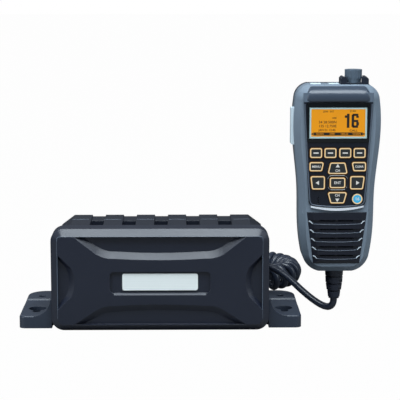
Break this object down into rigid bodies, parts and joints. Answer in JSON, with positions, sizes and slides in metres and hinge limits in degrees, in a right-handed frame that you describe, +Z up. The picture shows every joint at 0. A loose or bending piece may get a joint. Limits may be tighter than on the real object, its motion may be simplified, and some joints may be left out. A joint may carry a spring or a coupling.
{
  "type": "vhf marine radio",
  "caption": "Marine radio with a finned black box on two mounting ears and a display handset on a curly cord.",
  "frame": {"origin": "on the underside of the base, midway between the four mounting holes", "axes": "+X to the right seen from the front, +Y from the front panel to the rear cover, +Z up"},
  "size_m": [0.2915, 0.2197, 0.2016],
  "materials": {
    "casting": "black powder coat, fine satin",
    "plate": "satin, bare",
    "rubber": "matte",
    "steel": "plain",
    "board": "solder mask",
    "black_plastic": "fine satin",
    "tin": "tinned",
    "nickel": "nickel plate",
    "brass": "plain",
    "shell": "fine texture",
    "gloss_black": "gloss",
    "lcd_frame": "satin",
    "lcd": "lit amber",
    "chrome": "satin chrome",
    "knob": "satin",
    "grey_rubber": "soft satin",
    "key": "matte with a lit edge",
    "blue_key": "matte with a lit edge",
    "cord_rubber": "satin"
  },
  "bodies": {
    "root": {"front_panel": "casting", "case": "casting", "rear_cover": "casting", "mounting_base": "casting", "name_plate": "plate", "case_gaskets": "rubber", "case_screws": "steel", "base_screws": "steel", "board_screws": "steel", "main_board": "board", "power_amplifier": "black_plastic", "thermal_pad": "rubber", "shield_can": "tin", "antenna_socket": "nickel", "power_gland": "rubber", "handset_socket": "nickel", "accessory_sockets": "black_plastic", "ground_terminal": "brass", "front_shell": "shell", "rear_shell": "shell", "case_seal": "rubber", "handset_screws": "steel", "key_panel": "black_plastic", "display_window": "gloss_black", "lcd_frame": "lcd_frame", "lcd_module": "lcd", "trim_strip": "chrome", "grille_cover": "black_plastic", "keypad_mat": "rubber", "handset_board": "board", "microphone": "tin", "speaker_mesh": "steel", "speaker": "black_plastic", "encoder": "tin", "knob_seal": "rubber", "knob_guard": "shell", "top_switches": "black_plastic", "ptt_switch": "black_plastic", "hanger_stud": "steel", "strain_relief": "cord_rubber", "cord_lead": "cord_rubber", "cord_coil": "cord_rubber", "cord_tail": "cord_rubber", "cord_plug": "black_plastic"},
    "soft_key_1_body": {"soft_key_1": "key"},
    "soft_key_2_body": {"soft_key_2": "key"},
    "soft_key_3_body": {"soft_key_3": "key"},
    "soft_key_4_body": {"soft_key_4": "key"},
    "menu_key_body": {"menu_key": "key"},
    "clear_key_body": {"clear_key": "key"},
    "up_key_body": {"up_key": "key"},
    "left_key_body": {"left_key": "key"},
    "right_key_body": {"right_key": "key"},
    "enter_key_body": {"enter_key": "key"},
    "down_key_body": {"down_key": "key"},
    "channel_key_body": {"channel_key": "blue_key"},
    "top_key_1_body": {"top_key_1": "grey_rubber"},
    "top_key_2_body": {"top_key_2": "grey_rubber"},
    "ptt_body": {"ptt_button": "grey_rubber"},
    "knob_body": {"volume_knob": "knob"}
  },
  "joints": [
    {"name": "soft_key_1_press", "type": "slide", "parent": "root", "child": "soft_key_1_body", "axis": [0, 1, 0], "range_m": [0, 0.0006], "stiffness_N_per_m": 400, "springref_m": -0.0005},
    {"name": "soft_key_2_press", "type": "slide", "parent": "root", "child": "soft_key_2_body", "axis": [0, 1, 0], "range_m": [0, 0.0006], "stiffness_N_per_m": 400, "springref_m": -0.0005},
    {"name": "soft_key_3_press", "type": "slide", "parent": "root", "child": "soft_key_3_body", "axis": [0, 1, 0], "range_m": [0, 0.0006], "stiffness_N_per_m": 400, "springref_m": -0.0005},
    {"name": "soft_key_4_press", "type": "slide", "parent": "root", "child": "soft_key_4_body", "axis": [0, 1, 0], "range_m": [0, 0.0006], "stiffness_N_per_m": 400, "springref_m": -0.0005},
    {"name": "menu_key_press", "type": "slide", "parent": "root", "child": "menu_key_body", "axis": [0, 1, 0], "range_m": [0, 0.0006], "stiffness_N_per_m": 400, "springref_m": -0.0005},
    {"name": "clear_key_press", "type": "slide", "parent": "root", "child": "clear_key_body", "axis": [0, 1, 0], "range_m": [0, 0.0006], "stiffness_N_per_m": 400, "springref_m": -0.0005},
    {"name": "up_key_press", "type": "slide", "parent": "root", "child": "up_key_body", "axis": [0, 1, 0], "range_m": [0, 0.0006], "stiffness_N_per_m": 400, "springref_m": -0.0005},
    {"name": "left_key_press", "type": "slide", "parent": "root", "child": "left_key_body", "axis": [0, 1, 0], "range_m": [0, 0.0006], "stiffness_N_per_m": 400, "springref_m": -0.0005},
    {"name": "right_key_press", "type": "slide", "parent": "root", "child": "right_key_body", "axis": [0, 1, 0], "range_m": [0, 0.0006], "stiffness_N_per_m": 400, "springref_m": -0.0005},
    {"name": "enter_key_press", "type": "slide", "parent": "root", "child": "enter_key_body", "axis": [0, 1, 0], "range_m": [0, 0.0006], "stiffness_N_per_m": 400, "springref_m": -0.0005},
    {"name": "down_key_press", "type": "slide", "parent": "root", "child": "down_key_body", "axis": [0, 1, 0], "range_m": [0, 0.0006], "stiffness_N_per_m": 400, "springref_m": -0.0005},
    {"name": "channel_key_press", "type": "slide", "parent": "root", "child": "channel_key_body", "axis": [0, 1, 0], "range_m": [0, 0.0006], "stiffness_N_per_m": 400, "springref_m": -0.0005},
    {"name": "top_key_1_press", "type": "slide", "parent": "root", "child": "top_key_1_body", "axis": [0, 0, -1], "range_m": [0, 0.0005], "stiffness_N_per_m": 400, "springref_m": -0.0005},
    {"name": "top_key_2_press", "type": "slide", "parent": "root", "child": "top_key_2_body", "axis": [0, 0, -1], "range_m": [0, 0.0005], "stiffness_N_per_m": 400, "springref_m": -0.0005},
    {"name": "ptt_press", "type": "slide", "parent": "root", "child": "ptt_body", "axis": [1, 0, 0], "range_m": [0, 0.0012], "stiffness_N_per_m": 500, "springref_m": -0.001},
    {"name": "knob_turn", "type": "hinge", "parent": "root", "child": "knob_body", "pos_m": [0.1568, 0.006, 0.1962], "axis": [0, 0, 1], "continuous": true}
  ]
}
